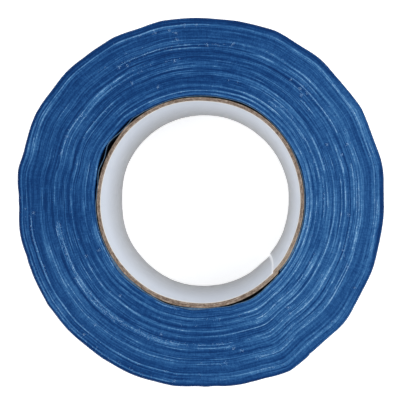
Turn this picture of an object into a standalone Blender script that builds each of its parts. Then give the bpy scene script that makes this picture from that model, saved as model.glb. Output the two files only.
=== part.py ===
"""Roll of cloth-backed adhesive tape on a board core, lying on its side face.

Frame: +Z along the roll's axis, origin on that axis at the lower face, metres.
The tape is one long strip wound counterclockwise on the core. Its free end lies on the
outside, at TAPE_EDGE_DEG, and peels off about the line at PEEL_DEG.
"""

import math

import bmesh
import bpy
from mathutils import Vector

MM = 0.001

# Driving dimensions, in millimetres and degrees.
WIDTH = 50.0
BORE_RADIUS = 38.0
LINER_THICKNESS = 0.15
SKIN_SETBACK = 0.3
PLY_THICKNESS = 0.5
PLY_PITCH = 0.55
PLY_TURNS = 2
SEAM_DEG = 318.0
TAPE_THICKNESS = 0.21
CLEARANCE = 0.3
PEEL_DEG = 285.0
TAPE_EDGE_DEG = 306.0

# Where the core is pressed out of round: middle angle, half width and height.
CORE_BULGES = ((50, 22, 0.35), (285, 32, 0.4))

# Where the board's outer ply stands off the inner one, in the same terms.
PLY_GAPS = ((276, 28, 0.45),)

# The wound tape settles into flats between soft ridges. Each ridge is an angle in degrees
# and a radius in millimetres, going counterclockwise round the outside of the roll.
RIDGES = (
    (11, 70.6), (30, 70.7), (49, 70.8), (66, 70.8), (78, 69.9), (91, 69.8), (102, 70.3),
    (118, 70.8), (135, 71.3), (152, 71.7), (171, 70.8), (191, 70.4), (209, 70.6), (224, 71.0),
    (238, 70.8), (249, 71.3), (262, 71.3), (281, 71.5), (298, 73.2), (321, 71.9), (339, 70.5),
    (355, 69.9),
)
RIDGE_ROUNDING_DEG = 3.0

# Where the innermost turns stand off the core: middle angle, half width and height.
SLACK_PLACES = (
    (62, 10, 0.35), (129, 7, 0.8), (153, 13, 1.4), (174, 7, 0.3), (221, 7, 0.5), (260, 26, 0.8),
    (301, 14, 1.6),
)

STATIONS = 180
STEP_DEG = 360.0 / STATIONS

# Radii of the circles that part the wound tape into its inner, middle and outer turns.
MIDDLE_TURNS_RADIUS = 50.0
OUTER_TURNS_RADIUS = 60.0

# Mean radii of the innermost layer of tape and of the outside of the last turn.
TAPE_INNER_RADIUS = 40.6
TAPE_OUTER_RADIUS = 70.3


def clear_scene():
    for obj in list(bpy.data.objects):
        bpy.data.objects.remove(obj, do_unlink=True)


def make_material(name, color, roughness, metallic=0.0):
    material = bpy.data.materials.new(name)
    material.use_nodes = True
    shader = material.node_tree.nodes["Principled BSDF"]
    shader.inputs["Base Color"].default_value = (*color, 1.0)
    shader.inputs["Roughness"].default_value = roughness
    shader.inputs["Metallic"].default_value = metallic
    return material


def chord_radius(angle, first, second):
    """Radius at angle of the straight line between two (degrees, radius) corners."""
    first_deg, first_radius = first
    second_deg, second_radius = second
    span = math.radians(second_deg - first_deg)
    before = math.radians(angle - first_deg)
    after = math.radians(second_deg - angle)
    return (first_radius * second_radius * math.sin(span)
            / (first_radius * math.sin(before) + second_radius * math.sin(after)))


def flats_radius(angle):
    """Radius of the outline made of straight flats from ridge to ridge."""
    angle = (angle - RIDGES[0][0]) % 360.0 + RIDGES[0][0]
    corners = RIDGES + ((RIDGES[0][0] + 360.0, RIDGES[0][1]),)
    for first, second in zip(corners, corners[1:]):
        if angle <= second[0]:
            return chord_radius(angle, first, second)
    return corners[-1][1]


def outline_radius(angle):
    """The flats' outline with its ridges rounded."""
    return (flats_radius(angle - RIDGE_ROUNDING_DEG)
            + 2.0 * flats_radius(angle)
            + flats_radius(angle + RIDGE_ROUNDING_DEG)) / 4.0


def bumps(angle, places):
    """Sum of the smooth bumps that places lists, at angle."""
    total = 0.0
    for middle, half_width, height in places:
        away = (angle - middle + 180.0) % 360.0 - 180.0
        total += height * math.exp(-(away / half_width) ** 2)
    return total


def ply_radius(start_radius, angle):
    """Inner face of a ply that starts at the seam, where angle counts on past 360 degrees.

    It grows by PLY_PITCH a turn. The sine keeps the spiral's middle on the roll's axis.
    """
    turned = angle - SEAM_DEG
    centring = PLY_PITCH / math.pi * math.sin(math.radians(turned))
    places = CORE_BULGES if turned <= 360.0 else CORE_BULGES + PLY_GAPS
    return start_radius + PLY_PITCH * turned / 360.0 + centring + bumps(angle, places)


def tape_radius(angle, mean_radius):
    """Radius of the layer of tape whose mean radius is given.

    Close to the core a layer follows the core's bulges and the slack places, and further
    out it takes up more and more of the ridges and flats.
    """
    share = (mean_radius - TAPE_INNER_RADIUS) / (TAPE_OUTER_RADIUS - TAPE_INNER_RADIUS)
    ridges = (outline_radius(angle) - TAPE_OUTER_RADIUS) * share ** 1.5
    inner = bumps(angle, CORE_BULGES + SLACK_PLACES) * (1.0 - share) ** 2
    return mean_radius + ridges + inner


def spiral_share(angle):
    """How much of a turn lies between the tape's free edge and angle, from 0 to 1."""
    return ((angle - TAPE_EDGE_DEG) % 360.0) / 360.0


def point(angle, radius, height):
    turned = math.radians(angle)
    return Vector((radius * math.cos(turned), radius * math.sin(turned), height)) * MM


def section(angle, inner, outer, bottom, top):
    """The four corners of a wall's cross-section at angle."""
    return [point(angle, inner, bottom), point(angle, outer, bottom),
            point(angle, outer, top), point(angle, inner, top)]


def solid_from_sections(name, sections, closed, material, origin=Vector((0.0, 0.0, 0.0))):
    """Skins a row of four-cornered sections, and caps its ends unless it closes on itself."""
    bm = bmesh.new()
    rows = [[bm.verts.new(corner - origin) for corner in corners] for corners in sections]
    following = rows[1:] + rows[:1] if closed else rows[1:]
    for row, following_row in zip(rows, following):
        for i in range(4):
            j = (i + 1) % 4
            bm.faces.new((row[i], row[j], following_row[j], following_row[i]))
    if not closed:
        bm.faces.new(rows[0])
        bm.faces.new(rows[-1])
    bmesh.ops.recalc_face_normals(bm, faces=bm.faces)
    mesh = bpy.data.meshes.new(name)
    bm.to_mesh(mesh)
    bm.free()
    mesh.shade_smooth()
    mesh.set_sharp_from_angle(angle=math.radians(35.0))
    mesh.materials.append(material)
    obj = bpy.data.objects.new(name, mesh)
    obj.location = origin
    bpy.context.collection.objects.link(obj)
    return obj


def strip_angles(start, end):
    """Angles of a strip's sections: its two ends and every common station between them."""
    first = math.floor(start / STEP_DEG + 1e-6) + 1
    last = math.ceil(end / STEP_DEG - 1e-6) - 1
    return [start] + [STEP_DEG * k for k in range(first, last + 1)] + [end]


def make_core_liner():
    """White face paper: one turn on the inside of the board, stepped at the lap seam."""
    paper = make_material("white_liner_paper", (0.80, 0.82, 0.86), 0.45)
    gap = math.degrees(CLEARANCE / BORE_RADIUS)
    sections = []
    for angle in strip_angles(SEAM_DEG, SEAM_DEG + 360.0 - gap):
        radius = ply_radius(BORE_RADIUS, angle)
        sections.append(section(angle, radius, radius + LINER_THICKNESS,
                                SKIN_SETBACK, WIDTH - SKIN_SETBACK))
    return solid_from_sections("core_liner", sections, False, paper)


def make_core_board():
    """Brown board: one strip wound in PLY_TURNS plies, with both its ends at the seam."""
    board = make_material("core_board", (0.36, 0.26, 0.19), 0.85)
    start_radius = BORE_RADIUS + LINER_THICKNESS + CLEARANCE
    sections = []
    for angle in strip_angles(SEAM_DEG, SEAM_DEG + 360.0 * PLY_TURNS):
        radius = ply_radius(start_radius, angle)
        sections.append(section(angle, radius, radius + PLY_THICKNESS, 0.0, WIDTH))
    return solid_from_sections("core_board", sections, False, board)


def core_outer_radius(angle):
    last_ply_angle = SEAM_DEG + 360.0 * (PLY_TURNS - 1) + (angle - SEAM_DEG) % 360.0
    start_radius = BORE_RADIUS + LINER_THICKNESS + CLEARANCE
    return ply_radius(start_radius, last_ply_angle) + PLY_THICKNESS


def first_turn_radius(angle):
    """Inner face of the first turn: on the core, but wandering across the slack places."""
    wander = 0.5 + 0.35 * math.sin(math.radians(18.0 * angle))
    return core_outer_radius(angle) + CLEARANCE + bumps(angle, SLACK_PLACES) * wander


def make_first_turn(material):
    """Innermost turn of tape, loose and creased where the pack stands off the core."""
    gap = math.degrees(CLEARANCE / TAPE_INNER_RADIUS)
    sections = []
    for angle in strip_angles(SEAM_DEG + gap, SEAM_DEG + 360.0 - gap):
        radius = first_turn_radius(angle)
        sections.append(section(angle, radius, radius + TAPE_THICKNESS,
                                SKIN_SETBACK, WIDTH - SKIN_SETBACK))
    return solid_from_sections("first_turn", sections, False, material)


def pack_inner_radius(angle):
    on_core = first_turn_radius(angle) + TAPE_THICKNESS + CLEARANCE
    return max(on_core, tape_radius(angle, TAPE_INNER_RADIUS))


def make_turns(name, inner_radius, outer_radius, material):
    """A closed ring that stands for the packed turns between two radius laws."""
    sections = []
    for k in range(STATIONS):
        angle = STEP_DEG * k
        sections.append(section(angle, inner_radius(angle), outer_radius(angle), 0.0, WIDTH))
    return solid_from_sections(name, sections, True, material)


def layer(mean_radius, offset=0.0):
    return lambda angle: tape_radius(angle, mean_radius) + offset


def last_turn_radius(angle):
    """Inner face of the last turn. It rises by one tape thickness from start to cut edge."""
    angle_on_roll = min(angle, TAPE_EDGE_DEG - 0.01)
    rise = TAPE_THICKNESS * (spiral_share(angle_on_roll) - 1.0)
    return tape_radius(angle, TAPE_OUTER_RADIUS) + rise - TAPE_THICKNESS


def pack_outer_radius(angle):
    """Outside of the packed turns, a step lower where the last turn starts."""
    rise = TAPE_THICKNESS * (spiral_share(angle) - 1.0)
    return tape_radius(angle, TAPE_OUTER_RADIUS) + rise - TAPE_THICKNESS - CLEARANCE


def make_last_turn(material):
    """Outermost turn, from under the free edge round to the peel line."""
    gap = math.degrees(CLEARANCE / TAPE_OUTER_RADIUS)
    start = TAPE_EDGE_DEG - 360.0 + gap
    sections = []
    for angle in strip_angles(start, PEEL_DEG - 0.5 * gap):
        radius = last_turn_radius(angle)
        sections.append(section(angle, radius, radius + TAPE_THICKNESS, 0.0, WIDTH))
    return solid_from_sections("last_turn", sections, False, material)


def peel_line():
    """The foot of the tape end's hinge: in the middle of the tape, at the peel line."""
    radius = last_turn_radius(PEEL_DEG) + 0.5 * TAPE_THICKNESS
    return point(PEEL_DEG, radius, 0.0)


def make_tape_end(material):
    """Free end of the tape, from the peel line to the cut edge. Its origin is the hinge."""
    gap = math.degrees(CLEARANCE / TAPE_OUTER_RADIUS)
    sections = []
    for angle in strip_angles(PEEL_DEG + 0.5 * gap, TAPE_EDGE_DEG):
        radius = last_turn_radius(angle)
        sections.append(section(angle, radius, radius + TAPE_THICKNESS, 0.0, WIDTH))
    return solid_from_sections("tape_end", sections, False, material, peel_line())


def main():
    clear_scene()
    tape = make_material("blue_cloth_tape", (0.014, 0.083, 0.26), 0.5)
    layers = make_material("tape_layer_edges", (0.018, 0.092, 0.27), 0.7)
    make_core_liner()
    make_core_board()
    make_first_turn(layers)
    make_turns("inner_turns", pack_inner_radius,
               layer(MIDDLE_TURNS_RADIUS, -0.5 * CLEARANCE), layers)
    make_turns("middle_turns", layer(MIDDLE_TURNS_RADIUS, 0.5 * CLEARANCE),
               layer(OUTER_TURNS_RADIUS, -0.5 * CLEARANCE), layers)
    make_turns("outer_turns", layer(OUTER_TURNS_RADIUS, 0.5 * CLEARANCE),
               pack_outer_radius, layers)
    make_last_turn(tape)
    make_tape_end(tape)


main()
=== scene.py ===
"""Looks of the roll of blue cloth tape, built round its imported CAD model.

The wound tape is drawn as closed turns, one outside the other. A place in it is an angle
round the roll, a turn counted outwards from the inside of the pack, and a height above the
lower side face. Lengths here are millimetres and angles degrees, counterclockwise from +X;
only finished meshes, the camera and the lights are in metres.
"""

import math

import bpy
import numpy as np
from mathutils import Matrix, Vector


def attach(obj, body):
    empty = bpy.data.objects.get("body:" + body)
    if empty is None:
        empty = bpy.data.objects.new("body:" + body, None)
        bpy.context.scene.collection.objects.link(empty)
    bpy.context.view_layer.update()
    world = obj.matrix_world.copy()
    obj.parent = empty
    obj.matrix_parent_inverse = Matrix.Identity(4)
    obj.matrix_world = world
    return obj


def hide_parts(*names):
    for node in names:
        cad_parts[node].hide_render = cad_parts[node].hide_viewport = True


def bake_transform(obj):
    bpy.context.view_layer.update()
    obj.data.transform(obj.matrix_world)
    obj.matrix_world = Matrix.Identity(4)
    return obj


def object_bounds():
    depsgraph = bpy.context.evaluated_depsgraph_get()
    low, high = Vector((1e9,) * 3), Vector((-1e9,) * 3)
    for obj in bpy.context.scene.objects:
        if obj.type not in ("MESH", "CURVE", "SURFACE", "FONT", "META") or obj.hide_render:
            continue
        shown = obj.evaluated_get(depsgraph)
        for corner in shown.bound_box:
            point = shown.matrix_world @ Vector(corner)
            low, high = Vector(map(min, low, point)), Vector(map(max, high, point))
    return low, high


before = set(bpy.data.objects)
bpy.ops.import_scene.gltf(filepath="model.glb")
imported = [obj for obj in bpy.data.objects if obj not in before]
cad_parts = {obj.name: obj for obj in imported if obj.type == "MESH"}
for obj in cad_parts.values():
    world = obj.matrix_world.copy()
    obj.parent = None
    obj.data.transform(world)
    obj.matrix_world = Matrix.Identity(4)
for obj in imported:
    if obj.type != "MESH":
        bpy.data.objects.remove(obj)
cad_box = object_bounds()

MM = 0.001
WIDTH = cad_box[1][2] / MM

# Where the CAD strips start and end.
SEAM_DEG = 318.0
TAPE_EDGE_DEG = 306.0
PEEL_DEG = 285.0
SECTION_MARGIN_DEG = 0.1

# The wound tape: three pieces of TURNS_PER_PIECE turns each.
TAPE_THICKNESS = 0.21
TURNS_PER_PIECE = 47
PIECES = 3
TURNS = PIECES * TURNS_PER_PIECE

# The CAD solids keep a gap between layers that touch. The drawn pack and first turn start this
# much further in, the outside stands this much further out, and TOUCH_GAP is what is left.
PACK_SHIFT = 0.3
FIRST_TURN_SHIFT = 0.1
OUTSIDE_SHIFT = 0.25
TOUCH_GAP = 0.02

# Small dents and rises of the worn roll: middle angle, half width and distance outwards.
PACK_RISES = (
    (20, 10, 0.2), (70, 6, 0.15), (126, 4, -0.4), (137, 5, 0.2), (176, 16, -0.4), (230, 12, 0.2),
    (251, 6, 0.2), (281, 5, -0.3), (306, 6, -0.4), (325, 10, 0.35),
)
FIRST_TURN_RISES = ((62, 10, 0.8), (172, 8, -1.0), (222, 8, 0.8), (256, 18, 0.8), (298, 16, 2.5))
BOARD_RISES = ((136, 5, 0.35), (224, 6, 0.25), (255, 12, 0.25), (326, 8, 0.2))
CORE_TOP_RISES = ((87, 14, -0.3), (165, 28, -0.45), (245, 14, 0.3), (298, 20, 0.25), (324, 8, 0.25))
CORE_FOOT_RISES = (
    (10, 8, 0.15), (52, 16, -0.4), (180, 20, -1.15), (252, 18, 0.48), (312, 5, -0.3), (334, 12, 0.3),
)
OUTSIDE_RISES = (
    (45, 3, -0.17), (64, 3, 0.1), (109, 3, -0.15), (126, 3, 0.18), (152, 3, -0.2), (165, 3, -0.2),
    (170, 2, 0.2), (180, 3, -0.35), (203, 2, 0.2), (209, 3, -0.18), (216, 2, 0.2), (224, 3, -0.17),
    (288, 2, -0.2), (325, 3, -0.12), (348, 3, 0.14),
)

# Where the loose first turn is doubled up and fills the gap between board and pack: middle
# angle, half width and the share of the gap that it fills.
FIRST_TURN_DOUBLED = ((216, 9, 0.9), (230, 9, 0.9), (244, 5, 0.6), (268, 9, 1.0), (332, 9, 1.0))

# How many of the outermost closed turns take up the step of the real tape's spiral.
SPIRAL_TURNS = 8

# Stations round the roll, steps down a wall, and rows in a table of noise.
STATIONS = 300
WALL_ROWS = 16
NOISE_ROWS = 256

# Relief of the side faces, as depths below the faces of the CAD model.
FACE_DEPTH = 0.10
GROOVE_DEPTH = 0.035
TONE_RISE = 0.05
SWELL_DEPTH = 0.09

# How far the ridges shift round the roll: down to the lower face, the share of it half way
# down, and the height over which that changes.
WANDER_DEG = 1.3
WANDER_MIDDLE = 0.7
WANDER_HEIGHT = 18.0

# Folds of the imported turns, which grow over the first turns and fade in the last: middle angle,
# half width and height.
FOLDS = ((165, 5, -0.45), (298, 5, 0.4), (307, 5, -0.45))
FOLD_START_TURNS = 40
FOLD_END_TURNS = 10

# Light and dark bands right round the side face: mean radius, half width and strength.
BANDS = (
    (40.6, 0.3, -0.4), (41.3, 0.3, 0.3), (42.1, 0.25, -0.22), (42.8, 0.3, 0.3), (43.8, 0.35, -0.25),
    (44.8, 0.4, 0.15), (45.6, 0.25, -0.1), (46.5, 0.25, 0.18), (47.6, 0.5, -0.15), (48.4, 0.25, -0.12),
    (49.2, 0.35, 0.3), (50.5, 0.4, -0.25), (51.4, 0.25, 0.16), (52.2, 0.25, -0.1), (52.9, 0.2, 0.08),
    (53.5, 0.3, -0.15), (54.3, 0.25, 0.12), (55.8, 0.3, 0.22), (57.2, 0.5, -0.28), (58.2, 0.3, 0.15),
    (59.5, 0.3, -0.12), (61.5, 0.5, 0.22), (62.7, 0.3, -0.1), (64.4, 1.1, -0.15), (65.2, 0.25, -0.12),
    (66.0, 0.22, 0.3), (66.6, 0.25, -0.18), (67.3, 0.25, 0.12), (67.9, 0.25, 0.25), (68.5, 0.25, -0.18),
    (69.1, 0.2, 0.08), (69.8, 0.45, -0.35),
)

# Bands where the layers' edges are even: mean radius, half width and how much tone they lose.
EVEN_BANDS = ((64.0, 1.5, 0.6), (69.6, 0.7, 0.5))

# Streaks: mean radius, half width, first and last angle, strength, and how many frayed threads
# they have, as a multiple of THREADS_PER_MM.
STREAKS = (
    (69.5, 0.6, -22, 11, -0.6, 0.0), (69.5, 0.6, 42, 146, -0.45, 0.0), (70.1, 0.25, 145, 300, -0.8, 0.0),
    (69.4, 0.5, 11, 41, 0.3, 0.0), (67.9, 0.4, 20, 60, 0.25, 0.0), (67.3, 0.2, 8, 46, 0.6, 0.2),
    (61.8, 0.2, 15, 80, 0.45, 0.1), (60.9, 0.5, -15, 38, 0.35, 0.1),
    (60.2, 0.2, 41, 56, 0.7, 0.2), (60.2, 0.2, 77, 92, 0.45, 0.5), (58.9, 0.2, -4, 15, 1.15, 0.5),
    (58.1, 0.18, 25, 53, 0.75, 0.9), (55.5, 0.25, -3, 12, 0.7, 0.2), (55.7, 0.22, 10, 24, 1.05, 0.4),
    (55.8, 0.2, 52, 74, 0.5, 0.0), (54.2, 0.18, -12, 12, 0.7, 0.1), (54.3, 0.18, 32, 46, 0.95, 0.4),
    (51.2, 0.2, -25, 13, 0.25, 0.0), (48.8, 0.18, -3, 7, 0.55, 0.3), (48.9, 0.18, 12, 31, 0.75, 0.8),
    (47.6, 0.18, -8, 13, 0.85, 0.6), (47.7, 0.18, 41, 55, 0.65, 0.6), (48.0, 0.15, 70, 78, 1.1, 0.2),
    (46.5, 0.18, 8, 50, 0.7, 0.7), (46.3, 0.2, 50, 57, 0.9, 1.5), (42.7, 0.25, 0, 140, 0.7, 0.0),
    (41.4, 0.2, 20, 145, 0.45, 0.0),
    (68.0, 0.18, 103, 121, 0.8, 0.4), (68.1, 0.18, 120, 162, 0.9, 0.1), (69.3, 0.2, 146, 200, 0.85, 0.1),
    (62.7, 0.2, 105, 130, 0.8, 0.2), (61.5, 0.4, 120, 165, -0.1, 0.0), (60.0, 0.18, 92, 123, 0.8, 0.6),
    (55.9, 0.18, 106, 116, 0.45, 0.2), (56.0, 0.28, 115, 164, 0.95, 0.6), (56.0, 0.22, 167, 182, 0.8, 0.2),
    (54.3, 0.2, 112, 147, 0.15, 0.7), (54.8, 0.2, 97, 106, 0.65, 0.5), (49.8, 0.3, 130, 152, 0.8, 0.5),
    (49.5, 0.35, 150, 184, 0.45, 0.1), (44.3, 0.2, 159, 184, 0.6, 0.0), (41.3, 0.3, 145, 182, 0.75, 0.0),
    (69.3, 0.2, 198, 262, 0.95, 0.5), (68.2, 0.2, 180, 229, 0.8, 0.1), (65.7, 0.2, 184, 210, 1.05, 1.2),
    (66.0, 0.2, 215, 272, 0.1, 0.2), (60.7, 0.3, 196, 214, 0.8, 0.5), (61.3, 0.25, 213, 262, 0.45, 0.1),
    (55.9, 0.2, 189, 195, 0.8, 2.5), (56.0, 0.25, 211, 236, 0.95, 1.5), (55.3, 0.4, 188, 262, 0.6, 1.2),
    (54.6, 0.2, 187, 270, 0.95, 1.2), (49.3, 0.4, 178, 205, 0.35, 0.1), (49.1, 0.22, 208, 244, 0.8, 0.6),
    (46.9, 0.2, 247, 272, 0.65, 0.1), (44.6, 0.2, 180, 272, 0.45, 0.0), (41.3, 0.3, 190, 219, 0.9, 0.4),
    (41.4, 0.4, 246, 261, 0.6, 1.2), (66.5, 3.5, 163, 206, -0.14, 0.0), (66.5, 3.5, 243, 268, -0.14, 0.0),
    (68.2, 0.2, 268, 288, 0.45, 0.1), (67.4, 0.25, 284, 327, 0.1, 0.4), (67.8, 0.2, 343, 362, 0.6, 0.4),
    (62.1, 0.2, 268, 280, 0.7, 0.4), (62.3, 0.25, 289, 306, 0.95, 1.0), (61.3, 0.8, 298, 346, -0.2, 0.2),
    (63.0, 0.2, 288, 318, 0.3, 0.1), (58.7, 0.2, 296, 333, 0.8, 0.2), (58.1, 0.2, 335, 356, 0.45, 0.6),
    (56.1, 0.2, 268, 284, 1.05, 0.6), (54.6, 0.2, 268, 285, 0.4, 0.9), (56.1, 0.18, 287, 310, 0.35, 0.1),
    (55.9, 0.22, 311, 345, 0.75, 0.4), (54.9, 0.18, 287, 302, 0.6, 0.3), (54.3, 0.2, 318, 350, 0.4, 0.1),
    (49.3, 0.2, 270, 362, 0.28, 0.0), (48.2, 0.2, 295, 339, 1.25, 0.5), (47.0, 0.2, 280, 292, 0.65, 0.1),
    (45.0, 0.25, 266, 330, 0.45, 0.2), (44.8, 0.2, 338, 362, 0.75, 0.2), (42.7, 0.25, 335, 362, 0.75, 0.1),
)
STREAK_FADE_DEG = 2.0
STREAK_DRIFT_TURNS = 0.5

# Frayed tufts that stand alone: mean radius and angle.
TUFTS = (
    (60.2, 21), (56.8, 18), (61.3, 78), (59.8, 87), (57.8, 45), (57.0, 48), (57.5, 53), (55.6, 46),
    (52.8, 24), (67.8, 91), (67.8, 95), (66.2, 100), (66.6, 105), (65.0, 98), (62.4, 98), (58.3, 118),
    (51.9, 120), (59.5, 121), (54.4, 100), (46.5, 110), (55.5, 144), (55.6, 154), (64.6, 184),
    (48.4, 206), (43.2, 206), (67.8, 229), (61.8, 230), (47.2, 230), (52.6, 254), (68.8, 262),
    (61.8, 279), (57.0, 283), (58.3, 286), (54.6, 309), (52.2, 310), (67.5, 331), (61.6, 336),
    (57.5, 341), (42.0, 347), (56.8, 355),
)

# Finer variation of tone: seed, strength, knots round the roll and turns from knot to knot.
TONE_NOISES = (
    (12, 0.08, 9, 3.4), (13, 0.30, 11, 1.9), (14, 0.24, 40, 1.5), (15, 0.18, 260, 1.9),
)
# Hairlines: seed, strength, knots round the roll, and how high the noise is where they begin.
HAIRLINES = ((16, 0.9, 7, 0.72), (17, 0.9, 22, 0.8))
# Lighter and darker sectors, partly the edges' own tone and partly painted light that makes the right side
# lighter: middle angle, half width and strength.
LIGHT_AND_TONE_SECTORS = (
    (-35, 70, 0.26), (0, 12, 0.05), (30, 14, 0.12), (90, 18, -0.14), (112, 12, -0.06), (150, 14, 0.03),
    (180, 12, -0.08), (222, 14, 0.14), (270, 14, -0.16), (310, 10, 0.05), (330, 14, 0.08),
)

# Tone that all turns start from, the painted shade that a groove between turns adds to it, and the
# tones of the outer and inner wall of a piece.
PLAIN_TONE = -0.22
GROOVE_SHADE_TONE = -0.12
WALL_TONES = (-0.4, -0.6)


# --- The CAD model's walls -----------------------------------------------------------------

def ease(t):
    """Smooth step from 0 to 1, level at both ends."""
    return t * t * (3.0 - 2.0 * t)


def smooth_curve(x, knots, values):
    """Cubic through the knots, whose slopes come from their neighbours, straight past its ends."""
    slopes = np.gradient(values, knots)
    inside = np.clip(x, knots[0], knots[-1])
    i = np.clip(np.searchsorted(knots, inside, side="right") - 1, 0, len(knots) - 2)
    step = knots[i + 1] - knots[i]
    t = (inside - knots[i]) / step
    eased = ease(t)
    slope_part = slopes[i] * t * (1.0 - t) ** 2 - slopes[i + 1] * t * t * (1.0 - t)
    past_end = np.where(x < knots[0], slopes[0], slopes[-1]) * (x - inside)
    return values[i] * (1.0 - eased) + values[i + 1] * eased + step * slope_part + past_end


class Wall:
    """Inner and outer radius of CAD nodes' wall as smooth functions of the angle.

    A wall with a seam is read from seam to seam, so each side of it keeps its own radius.
    """

    def __init__(self, *nodes, seam=None):
        self.start = seam or 0.0
        radii = {}
        for node in nodes:
            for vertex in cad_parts[node].data.vertices:
                angle = math.degrees(math.atan2(vertex.co.y, vertex.co.x))
                turned = round((angle - self.start) % 360.0, 2) % 360.0
                radii.setdefault(turned, []).append(vertex.co.xy.length / MM)
        margin = -1.0 if seam is None else SECTION_MARGIN_DEG
        turned = [t for t in sorted(radii) if margin < t < 360.0 - margin]
        inner = [min(radii[t]) for t in turned]
        outer = [max(radii[t]) for t in turned]
        if seam is None:
            turned = [turned[-1] - 360.0] + turned + [turned[0] + 360.0]
            inner = [inner[-1]] + inner + [inner[0]]
            outer = [outer[-1]] + outer + [outer[0]]
        self.knots = np.array(turned)
        self.inner_values = np.array(inner)
        self.outer_values = np.array(outer)

    def turned(self, angle):
        return (np.asarray(angle) - self.start) % 360.0

    def inner(self, angle):
        return smooth_curve(self.turned(angle), self.knots, self.inner_values)

    def outer(self, angle):
        return smooth_curve(self.turned(angle), self.knots, self.outer_values)


liner_wall = Wall("core_liner", seam=SEAM_DEG)
board_wall = Wall("core_board", seam=SEAM_DEG)
first_turn_wall = Wall("first_turn", seam=SEAM_DEG)
inner_wall = Wall("inner_turns")
middle_wall = Wall("middle_turns")
outer_wall = Wall("outer_turns")
last_wall = Wall("last_turn", "tape_end", seam=TAPE_EDGE_DEG)


# --- Where things are in the wound tape ----------------------------------------------------

def ring_noise(seed, angle, across, around, step):
    """Smooth noise from -1 to 1: `around` knots in a full turn, and one every `step` across."""
    table = np.random.default_rng(seed).uniform(-1.0, 1.0, (NOISE_ROWS, around))
    u = np.asarray(angle) / 360.0 * around
    v = np.asarray(across) / step
    i = np.floor(u).astype(int)
    j = np.floor(v).astype(int)
    s = ease(u - i)
    t = ease(v - j)
    near = table[j % NOISE_ROWS, i % around] * (1 - s) + table[j % NOISE_ROWS, (i + 1) % around] * s
    j = j + 1
    far = table[j % NOISE_ROWS, i % around] * (1 - s) + table[j % NOISE_ROWS, (i + 1) % around] * s
    return near * (1 - t) + far * t


def bumps(angle, places):
    """Sum of the smooth bumps that places lists, at angle."""
    total = 0.0 * angle
    for middle, half_width, height in places:
        away = (angle - middle + 180.0) % 360.0 - 180.0
        total = total + height * np.exp(-(away / half_width) ** 2)
    return total


def wander(angle, height):
    """How far the ridges have shifted round the roll at a height, none at the upper face."""
    down = 1.0 - height / WIDTH
    middle = np.sin(math.pi * height / WIDTH)
    return WANDER_DEG * (ring_noise(21, angle, 0.0, 11, 1.0) * down
                         + WANDER_MIDDLE
                         * ring_noise(22, angle, height / WANDER_HEIGHT, 14, 1.0) * middle)


def spiral_share(angle):
    """How much of a turn lies between the tape's cut edge and angle, from 0 to 1."""
    return ((np.asarray(angle) - TAPE_EDGE_DEG) % 360.0) / 360.0


def last_turn_radius(angle, height):
    """Inner face of the last turn and of the free end, which go on from each other."""
    shifted = angle + wander(angle, height)
    smooth = last_wall.inner(shifted) + OUTSIDE_SHIFT - TAPE_THICKNESS * spiral_share(shifted)
    return smooth + TAPE_THICKNESS * spiral_share(angle) + bumps(shifted, OUTSIDE_RISES)


def turn_radius(angle, turn, height):
    """Radius where one packed turn ends and the next begins; turn 0 starts the pack."""
    shifted = angle + wander(angle, height)
    inside = inner_wall.inner(shifted) - PACK_SHIFT + bumps(shifted, PACK_RISES)
    first = 0.5 * (inner_wall.outer(shifted) + middle_wall.inner(shifted))
    second = 0.5 * (middle_wall.outer(shifted) + outer_wall.inner(shifted))
    share = spiral_share(angle)
    outside = last_turn_radius(angle, height) - TAPE_THICKNESS * share + 0.5 * TAPE_THICKNESS
    u = turn / TURNS_PER_PIECE
    packed = (-inside * (u - 1) * (u - 2) * (u - 3) / 6 + first * u * (u - 2) * (u - 3) / 2
              - second * u * (u - 1) * (u - 3) / 2 + outside * u * (u - 1) * (u - 2) / 6)
    outermost = np.clip((turn - TURNS + SPIRAL_TURNS) / SPIRAL_TURNS, 0.0, 1.0) ** 2
    folded = ease(np.clip(turn / FOLD_START_TURNS, 0.0, 1.0))
    folded = folded * ease(np.clip((TURNS - turn) / FOLD_END_TURNS, 0.0, 1.0))
    packed = packed + folded * bumps(shifted, FOLDS)
    return packed + outermost * (TAPE_THICKNESS * (share - 0.5) - TOUCH_GAP)


def turn_at(mean_radius):
    """The turn that has a mean radius, on the circles that part the pack in three."""
    circles = (np.mean(inner_wall.inner_values) - PACK_SHIFT, np.mean(inner_wall.outer_values),
               np.mean(middle_wall.outer_values), np.mean(last_wall.inner_values) + OUTSIDE_SHIFT)
    return np.interp(mean_radius, circles, np.arange(PIECES + 1) * TURNS_PER_PIECE)


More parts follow.
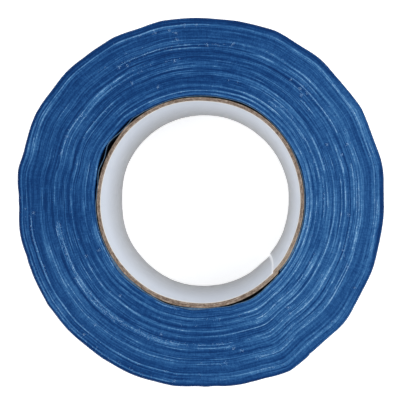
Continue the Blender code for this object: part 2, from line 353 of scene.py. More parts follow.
def layer_tone(angle, turn, seed):
    """How light the cut edges are: -1 is navy, 0 the usual blue and above 1 pale threads."""
    # The sectors add painted light, lighter on the right, as well as the edges' own tone.
    tone = PLAIN_TONE + bumps(angle, LIGHT_AND_TONE_SECTORS) + 0.0 * turn
    for number, strength, around, step in TONE_NOISES:
        tone += strength * ring_noise(number + seed, angle, turn, around, step)
    for number, strength, around, plain in HAIRLINES:
        height = 0.5 + 0.5 * ring_noise(number + seed, angle, turn, around, 1.0)
        tone += strength * np.clip((height - plain) / (1.0 - plain), 0.0, 1.0)
    for radius, half_width, loss in EVEN_BANDS:
        away = (turn - turn_at(radius)) * TAPE_THICKNESS / half_width
        tone *= 1.0 - loss * np.exp(-away ** 4)
    for radius, half_width, strength in BANDS:
        away = (turn - turn_at(radius)) * TAPE_THICKNESS / half_width
        tone += strength * np.exp(-away ** 2)
    for number, (radius, half_width, start, end, strength, _) in enumerate(STREAKS):
        drift = STREAK_DRIFT_TURNS * ring_noise(number + seed, angle, 0.0, 24, 1.0)
        away = (turn - turn_at(radius) + drift) * TAPE_THICKNESS / half_width
        middle = 0.5 * (start + end)
        from_middle = np.abs((angle - middle + 180.0) % 360.0 - 180.0)
        inside = np.clip((0.5 * (end - start) - from_middle) / STREAK_FADE_DEG, 0.0, 1.0)
        ragged = 0.85 + 0.35 * ring_noise(number + seed + 100, angle, 0.0, 150, 1.0)
        tone += strength * ease(inside) * ragged * np.exp(-away ** 2)
    return tone


# --- Meshes --------------------------------------------------------------------------------

def polar(angle, radius, height):
    """Points in millimetres, for arrays of any shapes that fit together."""
    turned = np.radians(angle)
    radius, height, turned = np.broadcast_arrays(radius, height, turned)
    return np.stack((radius * np.cos(turned), radius * np.sin(turned), height), axis=-1)


def add_object(name, data):
    obj = bpy.data.objects.new(name, data)
    bpy.context.collection.objects.link(obj)
    return obj


def add_around(mesh, points):
    """Keeps each point's direction from the roll's axis, and its height, for the shaders."""
    around = points / np.linalg.norm(points[..., :2], axis=-1, keepdims=True)
    around[..., 2] = points[..., 2]
    attribute = mesh.attributes.new("around", "FLOAT_VECTOR", "POINT")
    attribute.data.foreach_set("vector", around.astype(np.float32).ravel())


def runs_down_outside(station):
    """Whether a station's points go outwards on top and then down the outside."""
    radius = np.linalg.norm(station[:, :2], axis=1)
    height = station[:, 2]
    return np.sum(radius * np.roll(height, -1) - np.roll(radius, -1) * height) < 0.0


def loft(name, points, materials, row_materials=None, closed=True, sharp_deg=50.0, **values):
    """Skins stations of points into a closed mesh, with each value kept as an attribute.

    points[i, j] is point j of station i, and the stations go counterclockwise round the roll.
    The points of a station always close on themselves; the stations do if closed, and
    otherwise the first and last are capped. The faces point outwards.
    """
    stations, rows = points.shape[:2]
    i = np.arange(stations if closed else stations - 1)[:, None]
    j = np.arange(rows)[None, :]
    following = (i + 1) % stations
    beside = (j + 1) % rows
    quads = np.stack((i * rows + j, following * rows + j,
                      following * rows + beside, i * rows + beside), axis=-1).reshape(-1, 4)
    faces = quads.tolist()
    if not closed:
        faces.append(list(range(rows)))
        faces.append(list(range(stations * rows - 1, (stations - 1) * rows - 1, -1)))
    mesh = bpy.data.meshes.new(name)
    mesh.from_pydata((points.reshape(-1, 3) * MM).tolist(), [], faces)
    if runs_down_outside(points[0]):
        mesh.flip_normals()
    for material in materials:
        mesh.materials.append(material)
    if row_materials is not None:
        indices = np.tile(row_materials, len(i)).tolist()
        indices += [0] * (len(faces) - len(indices))
        mesh.polygons.foreach_set("material_index", indices)
    add_around(mesh, points)
    for key, value in values.items():
        attribute = mesh.attributes.new(key, "FLOAT", "POINT")
        full = np.broadcast_to(value, (stations, rows)).astype(np.float32)
        attribute.data.foreach_set("value", full.ravel())
    mesh.shade_smooth()
    mesh.set_sharp_from_angle(angle=math.radians(sharp_deg))
    mesh.update()
    return add_object(name, mesh)


# --- Materials -----------------------------------------------------------------------------

class Shader:
    """A material whose nodes are added by calls that return the new node's socket."""

    def __init__(self, name, **constants):
        self.material = bpy.data.materials.new(name)
        self.material.use_nodes = True
        self.tree = self.material.node_tree
        self.surface = self.tree.nodes["Principled BSDF"]
        for socket, value in constants.items():
            self.surface.inputs[socket.replace("_", " ")].default_value = value

    def node(self, kind, *inputs, **settings):
        node = self.tree.nodes.new("ShaderNode" + kind)
        for setting, value in settings.items():
            setattr(node, setting, value)
        for socket, value in zip(node.inputs, inputs):
            self.feed(socket, value)
        return node

    def feed(self, socket, value):
        if isinstance(value, bpy.types.NodeSocket):
            self.tree.links.new(value, socket)
        elif value is not None:
            socket.default_value = value

    def attribute(self, name, output="Fac"):
        return self.node("Attribute", attribute_name=name).outputs[output]

    def math(self, operation, *values, clamp=False):
        return self.node("Math", *values, operation=operation, use_clamp=clamp).outputs[0]

    def vector(self, operation, *values):
        return self.node("VectorMath", *values, operation=operation).outputs[0]

    def spread(self, value, low, high, to_low=0.0, to_high=1.0):
        return self.node("MapRange", value, low, high, to_low, to_high).outputs[0]

    def noise(self, vector, scale=1.0, detail=2.0, roughness=0.5):
        node = self.node("TexNoise")
        self.feed(node.inputs["Vector"], vector)
        self.feed(node.inputs["Scale"], scale)
        self.feed(node.inputs["Detail"], detail)
        self.feed(node.inputs["Roughness"], roughness)
        return node.outputs[0]

    def ramp(self, factor, stops):
        node = self.node("ValToRGB", factor)
        elements = node.color_ramp.elements
        while len(elements) < len(stops):
            elements.new(1.0)
        for element, (position, color) in zip(elements, stops):
            element.position = position
            element.color = (*color, 1.0)
        return node.outputs[0]

    def mix(self, factor, first, second):
        node = self.node("Mix", data_type="RGBA")
        self.feed(node.inputs[0], factor)
        self.feed(node.inputs[6], first if isinstance(first, bpy.types.NodeSocket) else (*first, 1.0))
        self.feed(node.inputs[7], second if isinstance(second, bpy.types.NodeSocket) else (*second, 1.0))
        return node.outputs[2]

    def bump(self, height, distance, strength=1.0):
        node = self.node("Bump")
        self.feed(node.inputs["Height"], height)
        node.inputs["Distance"].default_value = distance * MM
        node.inputs["Strength"].default_value = strength
        self.feed(self.surface.inputs["Normal"], node.outputs[0])

    def round_coordinate(self, around, across, across_scale):
        """Noise coordinate that runs round the roll without a seam, and across by a value."""
        direction = self.vector("MULTIPLY", self.attribute("around", "Vector"), (around, around, 0.0))
        sideways = self.node("CombineXYZ", 0.0, 0.0, self.math("MULTIPLY", across, across_scale))
        return self.vector("ADD", direction, sideways.outputs[0])

    def angle_round(self):
        """Angle round the roll in radians, from the attribute that every piece has."""
        parts = self.node("SeparateXYZ", self.attribute("around", "Vector"))
        return self.math("ARCTAN2", parts.outputs[1], parts.outputs[0])

    def height(self):
        return self.node("SeparateXYZ", self.attribute("around", "Vector")).outputs[2]


def layer_edges_material():
    """Cut edges of packed cloth tape: streaks that follow the turns, with a fine radial comb."""
    shader = Shader("tape_layer_edges", Roughness=0.62, Specular_IOR_Level=0.05)
    turn = shader.attribute("turn")
    tone = shader.attribute("tone")
    streaks = shader.noise(shader.round_coordinate(7.0, turn, 0.45), detail=4.0, roughness=0.65)
    comb = shader.noise(shader.round_coordinate(105.0, turn, 0.08), detail=2.0, roughness=0.6)
    grain = shader.noise(shader.round_coordinate(130.0, turn, 0.6), detail=1.0)
    specks = shader.noise(shader.round_coordinate(70.0, turn, 0.75), detail=1.0)
    fleck = shader.spread(specks, 0.56, 0.68)
    gate = shader.spread(tone, 0.2, 0.9, 0.08, 1.0)
    total = shader.math("ADD", tone, shader.spread(streaks, 0.25, 0.75, -0.36, 0.36))
    total = shader.math("ADD", total, shader.spread(comb, 0.25, 0.75, -0.20, 0.20))
    total = shader.math("ADD", total, shader.spread(grain, 0.25, 0.75, -0.22, 0.22))
    total = shader.math("MULTIPLY_ADD", fleck, gate, total)
    color = shader.ramp(shader.spread(total, -1.0, 2.0), (
        (0.00, (0.0020, 0.022, 0.098)),
        (0.18, (0.0036, 0.035, 0.136)),
        (0.32, (0.0120, 0.066, 0.202)),
        (0.48, (0.0310, 0.118, 0.284)),
        (0.66, (0.0860, 0.215, 0.410)),
        (0.86, (0.2000, 0.360, 0.560)),
        (1.00, (0.2900, 0.460, 0.650)),
    ))
    shader.feed(shader.surface.inputs["Base Color"], color)
    shader.feed(shader.surface.inputs["Roughness"], shader.spread(comb, 0.3, 0.7, 0.55, 0.75))
    shader.bump(shader.math("ADD", comb, streaks), 0.06, 0.6)
    return shader.material


# The cloth's weave: its radius in the roll, how many threads it has round it, and their spacing.
CLOTH_RADIUS = 70.3
WEAVE_THREADS = 500
WEAVE_PITCH = 2.0 * math.pi * CLOTH_RADIUS / WEAVE_THREADS


def cloth_material():
    """Outside of the tape: blue coated cloth with its weave and uneven threads showing through."""
    shader = Shader("blue_cloth_tape", Roughness=0.55, Specular_IOR_Level=0.2)
    angle = shader.angle_round()
    height = shader.height()
    round_wave = shader.math("SINE", shader.math("MULTIPLY", angle, 0.5 * WEAVE_THREADS))
    high_wave = shader.math("SINE", shader.math("MULTIPLY", height, math.pi / WEAVE_PITCH))
    crossing = shader.math("MULTIPLY", round_wave, high_wave)
    crown = shader.math("POWER", shader.math("ABSOLUTE", crossing), 0.7)
    over = shader.spread(crossing, -0.4, 0.4)
    patches = shader.noise(shader.round_coordinate(7.0, height, 0.12), detail=4.0, roughness=0.6)
    warp = shader.noise(shader.round_coordinate(3.0, height, 1.1), detail=3.0, roughness=0.6)
    weft = shader.noise(shader.round_coordinate(70.0, height, 0.05), detail=2.0)
    color = shader.mix(shader.spread(patches, 0.3, 0.7), (0.007, 0.050, 0.200), (0.013, 0.074, 0.255))
    color = shader.mix(shader.spread(warp, 0.4, 0.75, 0.0, 0.45), color, (0.035, 0.140, 0.380))
    color = shader.mix(shader.spread(weft, 0.4, 0.75, 0.0, 0.35), color, (0.035, 0.140, 0.380))
    color = shader.mix(shader.spread(crown, 0.0, 0.9, 0.6, 0.0), color, (0.003, 0.026, 0.130))
    color = shader.mix(shader.math("MULTIPLY", over, 0.2), color, (0.005, 0.040, 0.180))
    shader.feed(shader.surface.inputs["Base Color"], color)
    rough = shader.math("ADD", shader.spread(patches, 0.3, 0.7, 0.50, 0.62),
                        shader.math("MULTIPLY", over, 0.06))
    shader.feed(shader.surface.inputs["Roughness"], rough)
    threads = shader.math("ADD", shader.math("MULTIPLY", warp, 0.6), shader.math("MULTIPLY", weft, 0.4))
    shader.bump(shader.math("ADD", threads, crown), 0.1, 0.8)
    return shader.material


def adhesive_material():
    """Underside of the tape: pale rubber adhesive with the scrim pressed into it."""
    shader = Shader("tape_adhesive", Roughness=0.3, Specular_IOR_Level=0.5)
    height = shader.height()
    patches = shader.noise(shader.round_coordinate(20.0, height, 0.4), detail=4.0, roughness=0.6)
    high_wave = shader.math("SINE", shader.math("MULTIPLY", height, 2.0 * math.pi / WEAVE_PITCH))
    color = shader.mix(shader.spread(patches, 0.3, 0.7), (0.40, 0.46, 0.50), (0.58, 0.63, 0.65))
    shader.feed(shader.surface.inputs["Base Color"], color)
    shader.feed(shader.surface.inputs["Roughness"], shader.spread(patches, 0.3, 0.7, 0.22, 0.4))
    shader.bump(shader.math("ADD", high_wave, patches), 0.04, 0.5)
    return shader.material


def crease_material():
    """The loose first turn, dusty and dull, seen in the gaps round the core, with painted shade that
    darkens it below its upper edge.
    """
    shader = Shader("loose_first_turn", Roughness=0.7, Specular_IOR_Level=0.2)
    height = shader.height()
    patches = shader.noise(shader.round_coordinate(40.0, height, 0.3), detail=4.0, roughness=0.65)
    color = shader.mix(shader.spread(patches, 0.35, 0.65), (0.030, 0.080, 0.160), (0.090, 0.165, 0.260))
    # Painted shade: the turn goes near-black below its upper edge, down in the gap.
    painted_gap_shade = shader.spread(height, WIDTH - 1.2, WIDTH - 0.3, 1.0, 0.0)
    color = shader.mix(painted_gap_shade, color, (0.006, 0.016, 0.036))
    shader.feed(shader.surface.inputs["Base Color"], color)
    shader.feed(shader.surface.inputs["Roughness"], shader.spread(patches, 0.3, 0.7, 0.6, 0.85))
    shader.bump(patches, 0.08, 0.6)
    return shader.material


def liner_material():
    """White face paper of the core: smooth, faintly fibrous, with a cream cut edge, painted shade that
    greys it towards the lower end and a painted highlight along the lap seam.
    """
    shader = Shader("white_liner_paper", Roughness=0.35, Specular_IOR_Level=0.4)
    height = shader.height()
    seam = shader.attribute("seam")
    fibres = shader.noise(shader.round_coordinate(14.0, height, 0.35), detail=5.0, roughness=0.65)
    broad = shader.noise(shader.round_coordinate(2.5, height, 0.05), detail=2.0)
    color = shader.mix(shader.spread(fibres, 0.3, 0.7), (0.505, 0.555, 0.640), (0.565, 0.612, 0.695))
    color = shader.mix(shader.spread(broad, 0.35, 0.75, 0.0, 0.35), color, (0.47, 0.51, 0.59))
    # Painted shade: the paper turns grey towards its lower end, down in the bore.
    painted_shade_low = shader.spread(height, 0.0, 0.8 * WIDTH, 1.0, 0.0)
    color = shader.mix(painted_shade_low, color, (0.185, 0.190, 0.200))
    edge = shader.spread(height, WIDTH - 0.9, WIDTH - 0.4)
    color = shader.mix(shader.math("MULTIPLY", edge, 0.7), color, (0.76, 0.70, 0.60))
    # Painted highlight: the lap seam's bevel is made near-white so that it reads as a bright line.
    color = shader.mix(seam, color, (0.97, 0.98, 1.0))
    shader.feed(shader.surface.inputs["Base Color"], color)
    shader.feed(shader.surface.inputs["Roughness"], shader.spread(fibres, 0.3, 0.7, 0.28, 0.42))
    shader.bump(shader.math("ADD", fibres, broad), 0.05, 0.4)
    return shader.material


def board_material():
    """Raw edge of grey-brown board: mottled, fibrous and dull."""
    shader = Shader("core_board", Roughness=0.9, Specular_IOR_Level=0.15)
    ply = shader.attribute("ply")
    mottle = shader.noise(shader.round_coordinate(26.0, ply, 2.0), detail=4.0, roughness=0.7)
    fibres = shader.noise(shader.round_coordinate(110.0, ply, 6.0), detail=2.0)
    color = shader.ramp(shader.math("MULTIPLY_ADD", fibres, 0.35, mottle), (
        (0.46, (0.075, 0.052, 0.040)),
        (0.60, (0.165, 0.120, 0.092)),
        (0.74, (0.270, 0.212, 0.172)),
        (0.92, (0.430, 0.370, 0.315)),
    ))
    line = shader.spread(shader.math("ABSOLUTE", shader.math("SUBTRACT", ply, 0.5)), 0.03, 0.10, 0.45, 0.0)
    color = shader.mix(line, color, (0.10, 0.062, 0.040))
    from_patch = shader.math("ABSOLUTE", shader.math("ADD", shader.angle_round(), 0.65))
    color = shader.mix(shader.spread(from_patch, 0.1, 0.45, 0.3, 0.0), color, (0.42, 0.35, 0.27))
    shader.feed(shader.surface.inputs["Base Color"], color)
    shader.feed(shader.surface.inputs["Roughness"], shader.spread(mottle, 0.3, 0.7, 0.8, 0.98))
    shader.bump(shader.math("ADD", fibres, mottle), 0.15, 0.8)
    return shader.material


def thread_material():
    """Pale ends of cut cloth threads."""
    shader = Shader("cut_threads", Roughness=0.7, Specular_IOR_Level=0.1,
                    Sheen_Weight=0.05, Sheen_Roughness=0.5)
    height = shader.height()
    tint = shader.noise(shader.round_coordinate(60.0, height, 0.8), detail=2.0)
    color = shader.mix(shader.spread(tint, 0.3, 0.7), (0.22, 0.45, 0.80), (0.38, 0.62, 0.95))
    shader.feed(shader.surface.inputs["Base Color"], color)
    shader.feed(shader.surface.inputs["Roughness"], shader.spread(tint, 0.3, 0.7, 0.6, 0.8))
    shader.bump(tint, 0.02, 0.5)
    return shader.material


def floor_material():
    """White ground, lit a little from within so that it stays white."""
    shader = Shader("pale_floor", Roughness=0.8, Specular_IOR_Level=0.1,
                    Emission_Color=(1.0, 1.0, 1.0, 1.0), Emission_Strength=0.6)
    place = shader.node("TexCoord").outputs["Object"]
    grain = shader.noise(place, scale=60.0, detail=3.0)
    color = shader.mix(grain, (0.86, 0.86, 0.86), (0.9, 0.9, 0.9))
    shader.feed(shader.surface.inputs["Base Color"], color)
    return shader.material


# --- The core ------------------------------------------------------------------------------

LINER_THICKNESS = 0.15
LINER_SETBACK = 0.25
LINER_DENT = 0.05
LINER_RAGGEDNESS = 0.25
LINER_STATIONS = 240
LINER_ROWS = 20

# The lap seam: how far before SEAM_DEG it starts, its slant and bow over the width, and its bevel.
LAP_LEAD_DEG = 2.3
LAP_SLANT_DEG = 9.5
LAP_BOW_DEG = 5.1
LAP_BEVEL_DEG = 0.9

# The board's edge: wear at its corners, the line between the plies and its fibres, in mm.
BOARD_STATIONS = 360
BOARD_WEAR = 0.14
PLY_LINE_DEPTH = 0.10
BOARD_FIBRES = 0.05
BOARD_GAP = 0.04


def lap_angle(height):
    """The lap seam isn't quite square to the faces: it bends back round the core downwards."""
    down = 1.0 - height / WIDTH
    return SEAM_DEG - LAP_LEAD_DEG + LAP_SLANT_DEG * down - LAP_BOW_DEG * down ** 2


def core_rise(angle, height):
    """How far the core stands outwards of its CAD model."""
    up = height / WIDTH
    return bumps(angle, CORE_TOP_RISES) * up + bumps(angle, CORE_FOOT_RISES) * (1.0 - up)


def board_outside(angle, height):
    """Outer face of the board, which the first turn lies on."""
    return board_wall.outer(angle) + core_rise(angle, height) + bumps(angle, BOARD_RISES)


def liner_radius(turned, height):
    """Inner face of the liner, turned degrees on from its lap seam at that height."""
    past_bevel = np.clip(turned / LAP_BEVEL_DEG, 0.0, 1.0)
    near = np.clip(turned, SECTION_MARGIN_DEG, 360.0 - SECTION_MARGIN_DEG)
    radius = liner_wall.inner(SEAM_DEG + near)
    before_lap = liner_wall.inner(SEAM_DEG + 360.0 - SECTION_MARGIN_DEG)
    dents = LINER_DENT * ring_noise(31, turned, height / 16.0, 18, 1.0)
    dents = dents + core_rise(turned + lap_angle(height), height)
    return radius * ease(past_bevel) + before_lap * (1.0 - ease(past_bevel)) + dents


def core_turned(stations):
    """Degrees on from the lap seam of the core's stations, close together at the seam."""
    even = np.linspace(0.0, 360.0, stations, endpoint=False)[1:]
    near_seam = LAP_BEVEL_DEG * np.array([0.0, 0.15, 0.35, 0.65, 0.85, 1.0])
    return np.concatenate((near_seam, even[even > 1.2 * LAP_BEVEL_DEG]))


def make_core_liner(paper):
    turned = core_turned(LINER_STATIONS)[:, None]
    ragged = LINER_RAGGEDNESS * ring_noise(32, turned, 0.0, 90, 1.0) + LINER_RAGGEDNESS
    bottom = LINER_SETBACK + ragged
    top = WIDTH - LINER_SETBACK + 0.0 * turned
    share = np.linspace(0.0, 1.0, LINER_ROWS + 1)[None, :]
    height = bottom + (top - bottom) * share
    angle = turned + lap_angle(height)
    inner = liner_radius(turned, height)
    faces = polar(angle, inner, height)
    backs = polar(angle, inner + LINER_THICKNESS, height)
    points = np.concatenate((faces, backs[:, ::-1]), axis=1)
    from_lap = (turned + 180.0) % 360.0 - 180.0
    # Where the painted highlight of the lap seam's bevel goes.
    bevel_highlight = np.exp(-((from_lap - 0.5 * LAP_BEVEL_DEG) / LAP_BEVEL_DEG) ** 4)
    seam = np.broadcast_to(bevel_highlight, (len(turned), points.shape[1]))
    piece = loft("liner_paper", points, [paper], seam=seam)
    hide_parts("core_liner")
    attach(piece, "roll")


# Rows across the board's edge, as shares of its thickness, closer at the ply line and corners.
BOARD_SHARES = (0.0, 0.06, 0.2, 0.34, 0.46, 0.5, 0.54, 0.68, 0.84, 0.95, 1.0)


def board_radius(turned, share, height):
    """Radius in the board, from the liner at share 0 to the tape at share 1."""
    inner = liner_radius(turned, height) + LINER_THICKNESS + TOUCH_GAP
    outer = board_outside(turned + lap_angle(height), height) - BOARD_GAP
    return inner + (outer - inner) * share


def make_core_board(board):
    """Two plies of board, as one ring with a shallow line between the plies' edges."""
    turned = core_turned(BOARD_STATIONS)[:, None]
    share = np.array(BOARD_SHARES)[None, :]
    at_corners = np.abs(2.0 * share - 1.0) ** 8
    at_ply_line = np.exp(-((share - 0.5) / 0.03) ** 2)
    worn = BOARD_WEAR * at_corners + PLY_LINE_DEPTH * at_ply_line

    def edge(height, direction, seed):
        """The board's edge on a side face, fibrous and a little worn."""
        rough = BOARD_FIBRES + BOARD_FIBRES * ring_noise(seed, turned, share * 8.0, 180, 1.0)
        radius = board_radius(turned, share, height)
        return polar(turned + lap_angle(height), radius, height + direction * (worn + rough))

    def wall(share, heights):
        return polar(turned + lap_angle(heights), board_radius(turned, share, heights), heights)

    levels = WIDTH * np.linspace(1.0, 0.0, WALL_ROWS + 1)[None, 1:-1]
    points = np.concatenate((edge(WIDTH, -1.0, 41), wall(1.0, levels),
                             edge(0.0, 1.0, 42)[:, ::-1], wall(0.0, levels[:, ::-1])), axis=1)
    walls = levels.shape[1]
    ply = np.concatenate((share[0], np.ones(walls), share[0][::-1], np.zeros(walls)))
    piece = loft("core_board_plies", points, [board], ply=ply[None, :])
    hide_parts("core_board")
    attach(piece, "roll")


# --- The wound tape ------------------------------------------------------------------------

def side_face(angle, first, last, upper):
    """Points and tones of the cut edges of turns first to last, on the upper or lower face."""
    turn = np.arange(2 * first, 2 * last + 1)[None, :] / 2.0
    height = WIDTH if upper else 0.0
    seed = 0 if upper else 500
    tone = layer_tone(angle, turn, seed)
    swell = 0.5 + 0.5 * ring_noise(seed + 51, angle, turn, 7, 10.0)
    between_turns = (turn % 1.0 == 0.0).astype(float)
    depth = FACE_DEPTH + GROOVE_DEPTH * between_turns - TONE_RISE * np.clip(tone, -1.0, 1.5)
    depth = np.maximum(depth + SWELL_DEPTH * swell, 0.0)
    points = polar(angle, turn_radius(angle, turn, height), WIDTH - depth if upper else depth)
    # Painted shade darkens the grooves between turns.
    return points, tone + GROOVE_SHADE_TONE * between_turns, turn


def side_wall(angle, radius_law):
    """Rows of points down the inside or outside of packed turns, between the two faces."""
    height = np.linspace(WIDTH, 0.0, WALL_ROWS + 1)[None, 1:-1]
    return polar(angle, radius_law(angle, height), height)


def make_turns(index, name, node, edges, cloth):
    """One of the three pieces of packed turns, as a closed ring of fine layers."""
    angle = np.linspace(0.0, 360.0, STATIONS, endpoint=False)[:, None]
    first = index * TURNS_PER_PIECE
    last = first + TURNS_PER_PIECE
    upper, upper_tone, turn = side_face(angle, first, last, True)
    lower, lower_tone, _ = side_face(angle, first, last, False)
    outside = side_wall(angle, lambda a, h: turn_radius(a, float(last), h))
    inside = side_wall(angle, lambda a, h: turn_radius(a, float(first), h))[:, ::-1]
    points = np.concatenate((upper, outside, lower[:, ::-1], inside), axis=1)
    walls = outside.shape[1]
    outside_tone, inside_tone = (np.full((STATIONS, walls), tone) for tone in WALL_TONES)
    tone = np.concatenate((upper_tone, outside_tone, lower_tone[:, ::-1], inside_tone), axis=1)
    turns = np.concatenate((turn[0], np.full(walls, last), turn[0][::-1], np.full(walls, first)))
    face_rows = turn.shape[1] - 1
    row_materials = [0] * face_rows + [1] * (walls + 1) + [0] * face_rows + [0] * (walls + 1)
    piece = loft(name, points, [edges, cloth], row_materials, turn=turns[None, :], tone=tone)
    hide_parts(node)
    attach(piece, "roll")


FIRST_TURN_OPEN_DEG = 1.0
FIRST_TURN_SETBACK = 0.3
CREASES = 16.0
CREASE_DEG_PER_MM = 5.0
CREASE_SHARE = 0.35


def make_first_turn(creased):
    """The loose innermost turn, which wanders across the gaps between core and pack."""
    start = SEAM_DEG + FIRST_TURN_OPEN_DEG
    end = SEAM_DEG + 360.0 - FIRST_TURN_OPEN_DEG
    angle = np.linspace(start, end, STATIONS)[:, None]
    height = np.linspace(FIRST_TURN_SETBACK, WIDTH - FIRST_TURN_SETBACK, WALL_ROWS + 1)[None, :]
    low = board_outside(angle, height) + TOUCH_GAP
    high = turn_radius(angle, 0.0, height) - TAPE_THICKNESS - TOUCH_GAP
    room = np.clip(high - low, 0.0, None)
    crease = 0.5 + 0.5 * np.sin(np.radians(CREASES * angle + CREASE_DEG_PER_MM * height))
    inner = first_turn_wall.inner(angle) - FIRST_TURN_SHIFT + bumps(angle, FIRST_TURN_RISES)
    inner = np.clip(inner + CREASE_SHARE * (crease - 0.5) * room, low, low + room)
    doubled = np.clip(bumps(angle, FIRST_TURN_DOUBLED), 0.0, 1.0)
    faces = polar(angle, inner + doubled * (low - inner), height)
    backs = polar(angle, inner + TAPE_THICKNESS + doubled * (low + room - inner), height)
    points = np.concatenate((faces, backs[:, ::-1]), axis=1)
    piece = loft("first_turn_creased", points, [creased], closed=False)
    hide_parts("first_turn")
    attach(piece, "roll")


CLOTH_STEP_DEG = 0.9
CLOTH_ROWS = 24
CLOTH_EDGE = 0.06
CLOTH_SETBACK = 0.04
SLUB_HEIGHT = 0.012


def cloth_strip(name, start, end, cloth, underside, edges):
    """A stretch of the outermost layer, cloth outside and adhesive inside."""
    count = int((end - start) / CLOTH_STEP_DEG) + 2
    angle = np.linspace(start, end, count)[:, None]
    drop = CLOTH_SETBACK + CLOTH_SETBACK * ring_noise(61, angle, 0.0, 40, 1.0)
    height = np.linspace(0.0, 1.0, CLOTH_ROWS + 1)[None, :]
    height = drop + (WIDTH - 2.0 * drop) * height
    inner = last_turn_radius(angle, height)
    slub = SLUB_HEIGHT * ring_noise(62, angle, height / 3.0, 200, 1.0)
    outer = inner + TAPE_THICKNESS + slub
    outer[:, 0] -= CLOTH_EDGE
    outer[:, -1] -= CLOTH_EDGE
    faces = polar(angle, outer, height)
    backs = polar(angle, inner, height)
    points = np.concatenate((backs[:, ::-1], faces), axis=1)
    row_materials = [1] * CLOTH_ROWS + [2] + [0] * CLOTH_ROWS + [2]
    return loft(name, points, [cloth, underside, edges], row_materials, closed=False,
                turn=float(TURNS), tone=-0.7)


def make_last_turn(cloth, underside, edges):
    start = TAPE_EDGE_DEG - 360.0 + 0.1
    piece = cloth_strip("last_turn_cloth", start, PEEL_DEG, cloth, underside, edges)
    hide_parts("last_turn")
    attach(piece, "roll")


def make_tape_end(cloth, underside, edges):
    """The free end, from the peel line to the tape's cut edge."""
    piece = cloth_strip("tape_end_cloth", PEEL_DEG, TAPE_EDGE_DEG, cloth, underside, edges)
    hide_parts("tape_end")
    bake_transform(piece)


# --- Cut threads ---------------------------------------------------------------------------

THREAD_SIDES = 3
THREAD_STEPS = 5
THREAD_RADII = (0.016, 0.032)
THREAD_LIFT = 0.08
THREAD_CURL_DEG = 80.0

# Threads on the streaks: how many, the share that lie along the turns, their lengths, and how
# far they stray from the streak.
THREADS_PER_MM = 1.6
THREADS_ALONG = 0.75
STREAK_THREAD_LENGTHS = (0.3, 1.1)
STREAK_SPREAD_TURNS = 0.7

# Threads in a tuft: how many, their lengths, and how far they stray from its middle.
THREADS_IN_TUFT = 12
TUFT_THREAD_LENGTHS = (0.3, 0.8)
TUFT_SPREAD_TURNS = 1.0
TUFT_SPREAD_DEG = 0.25


def thread_path(rng, angle, turn, lean, length, upper):
    """Points of one thread, and how thick it is. A lean of 0 points to the roll's axis."""
    begin = float(turn_radius(angle, turn, WIDTH if upper else 0.0))
    curl = rng.normal(0.0, THREAD_CURL_DEG)
    lift = rng.uniform(0.0, THREAD_LIFT)
    x, y = 0.0, 0.0
    path = []
    for step in range(THREAD_STEPS + 1):
        share = step / THREAD_STEPS
        rise = lift * math.sin(math.pi * share) - 0.5 * FACE_DEPTH
        height = WIDTH + rise if upper else -rise
        path.append(polar(angle + math.degrees(y / begin), begin - x, height))
        heading = math.radians(lean + curl * share)
        x += length / THREAD_STEPS * math.cos(heading)
        y += length / THREAD_STEPS * math.sin(heading)
    return np.array(path), rng.uniform(*THREAD_RADII)


def thread_paths(rng, upper):
    """Short frayed threads that lie on a side face along its light streaks and in its tufts."""
    paths = []
    for radius, _, start, end, _, per_mm in STREAKS:
        for _ in range(int(THREADS_PER_MM * per_mm * radius * math.radians(end - start))):
            angle = rng.uniform(start + 1.0, end - 1.0)
            turn = turn_at(radius) + rng.normal(0.0, STREAK_SPREAD_TURNS)
            if rng.random() < THREADS_ALONG:
                lean = rng.choice((-90.0, 90.0)) + rng.normal(0.0, 12.0)
            else:
                lean = rng.normal(0.0, 30.0)
            length = rng.uniform(*STREAK_THREAD_LENGTHS)
            paths.append(thread_path(rng, angle, turn, lean, length, upper))
    for radius, middle in TUFTS:
        for _ in range(THREADS_IN_TUFT):
            angle = middle + rng.normal(0.0, TUFT_SPREAD_DEG)
            turn = turn_at(radius) + rng.normal(0.0, TUFT_SPREAD_TURNS)
            lean = rng.uniform(-180.0, 180.0)
            length = rng.uniform(*TUFT_THREAD_LENGTHS)
            paths.append(thread_path(rng, angle, turn, lean, length, upper))
    return paths


def make_cut_threads(pale):
    """All the frayed threads of both side faces as one mesh, none of them below the ground."""
    rng = np.random.default_rng(71)
    vertices, faces = [], []
    for upper in (True, False):
        for path, radius in thread_paths(rng, upper):
            base = len(vertices)
            for step, spot in enumerate(path):
                thin = radius * (0.45 + 0.55 * math.sin(math.pi * (0.2 + 0.6 * step / THREAD_STEPS)))
                along = path[min(step + 1, THREAD_STEPS)] - path[max(step - 1, 0)]
                across = np.cross(along, (0.0, 0.0, 1.0))
                across /= np.linalg.norm(across)
                for side in range(THREAD_SIDES):
                    turned = 2.0 * math.pi * side / THREAD_SIDES
                    offset = across * math.cos(turned) + np.array((0.0, 0.0, math.sin(turned)))
                    vertices.append(spot + thin * offset)
            for step in range(THREAD_STEPS):
                for side in range(THREAD_SIDES):
                    low = base + step * THREAD_SIDES
                    high = low + THREAD_SIDES
                    beside = (side + 1) % THREAD_SIDES
                    faces.append((low + side, high + side, high + beside, low + beside))
            faces.append(tuple(range(base, base + THREAD_SIDES)))
            top = base + THREAD_STEPS * THREAD_SIDES
            faces.append(tuple(range(top + THREAD_SIDES - 1, top - 1, -1)))
    points = np.array(vertices)
    points[:, 2] = np.maximum(points[:, 2], 0.0)
    mesh = bpy.data.meshes.new("cut_threads")
    mesh.from_pydata((points * MM).tolist(), [], faces)
    add_around(mesh, points)
    mesh.materials.append(pale)
    mesh.shade_smooth()
    piece = add_object("cut_threads", mesh)
    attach(piece, "roll")


# --- Stage ---------------------------------------------------------------------------------

# Places in metres; the camera's lens and sensor in millimetres.
CAMERA_PLACE = (0.010712, 0.002675, 0.311353)
CAMERA_TARGET = (0.00025, 0.00047, WIDTH * MM)
CAMERA_LENS = 61.88
CAMERA_SENSOR = 36.0

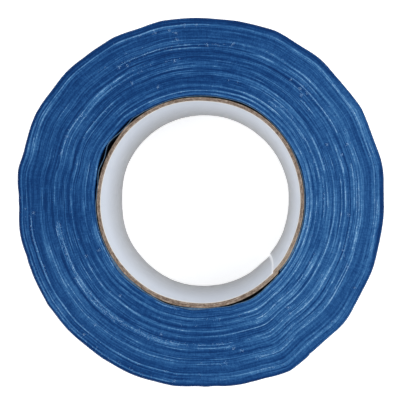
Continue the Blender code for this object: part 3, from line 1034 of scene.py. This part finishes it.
# Lights: name, place, size and power. They all point at LIGHT_TARGET.
LIGHTS = (
    ("key_right", (0.42, 0.10, 0.36), 0.35, 1.35),
    ("fill_left", (-0.5, -0.3, 0.6), 0.6, 1.4),
)
LIGHT_TARGET = (0.0, 0.0, 0.03)
WORLD_STRENGTH = 0.9
FLOOR_HALF_SIDE = 3.0


def look_at(obj, location, target, up):
    """Places an object and turns its -Z to the target, with its +Y as near up as it goes."""
    forward = (Vector(target) - Vector(location)).normalized()
    right = forward.cross(Vector(up)).normalized()
    turned = Matrix((right, right.cross(forward), -forward)).transposed().to_4x4()
    obj.matrix_world = Matrix.Translation(location) @ turned


def make_camera():
    camera = add_object("camera", bpy.data.cameras.new("camera"))
    camera.data.sensor_width = CAMERA_SENSOR
    camera.data.lens = CAMERA_LENS
    look_at(camera, CAMERA_PLACE, CAMERA_TARGET, (0.0, 1.0, 0.0))
    bpy.context.scene.camera = camera


def make_area_light(name, location, size, power):
    light = bpy.data.lights.new(name, "AREA")
    light.shape = "SQUARE"
    light.size = size
    light.energy = power
    look_at(add_object(name, light), location, LIGHT_TARGET, (0.0, 1.0, 0.01))


def make_stage():
    world = bpy.data.worlds.new("soft_white_studio")
    world.use_nodes = True
    background = world.node_tree.nodes["Background"]
    background.inputs["Color"].default_value = (1.0, 1.0, 1.0, 1.0)
    background.inputs["Strength"].default_value = WORLD_STRENGTH
    bpy.context.scene.world = world
    bpy.context.scene.view_settings.view_transform = "Standard"
    for name, location, size, power in LIGHTS:
        make_area_light(name, location, size, power)
    corners = [(x * FLOOR_HALF_SIDE, y * FLOOR_HALF_SIDE, 0.0)
               for x, y in ((-1, -1), (1, -1), (1, 1), (-1, 1))]
    mesh = bpy.data.meshes.new("floor")
    mesh.from_pydata(corners, [], [(0, 1, 2, 3)])
    mesh.materials.append(floor_material())
    add_object("floor", mesh)


def main():
    make_camera()
    make_stage()
    edges = layer_edges_material()
    cloth = cloth_material()
    adhesive = adhesive_material()
    make_core_liner(liner_material())
    make_core_board(board_material())
    make_first_turn(crease_material())
    for index, name in enumerate(("inner", "middle", "outer")):
        make_turns(index, name + "_layers", name + "_turns", edges, cloth)
    make_last_turn(cloth, adhesive, edges)
    make_tape_end(cloth, adhesive, edges)
    make_cut_threads(thread_material())


main()
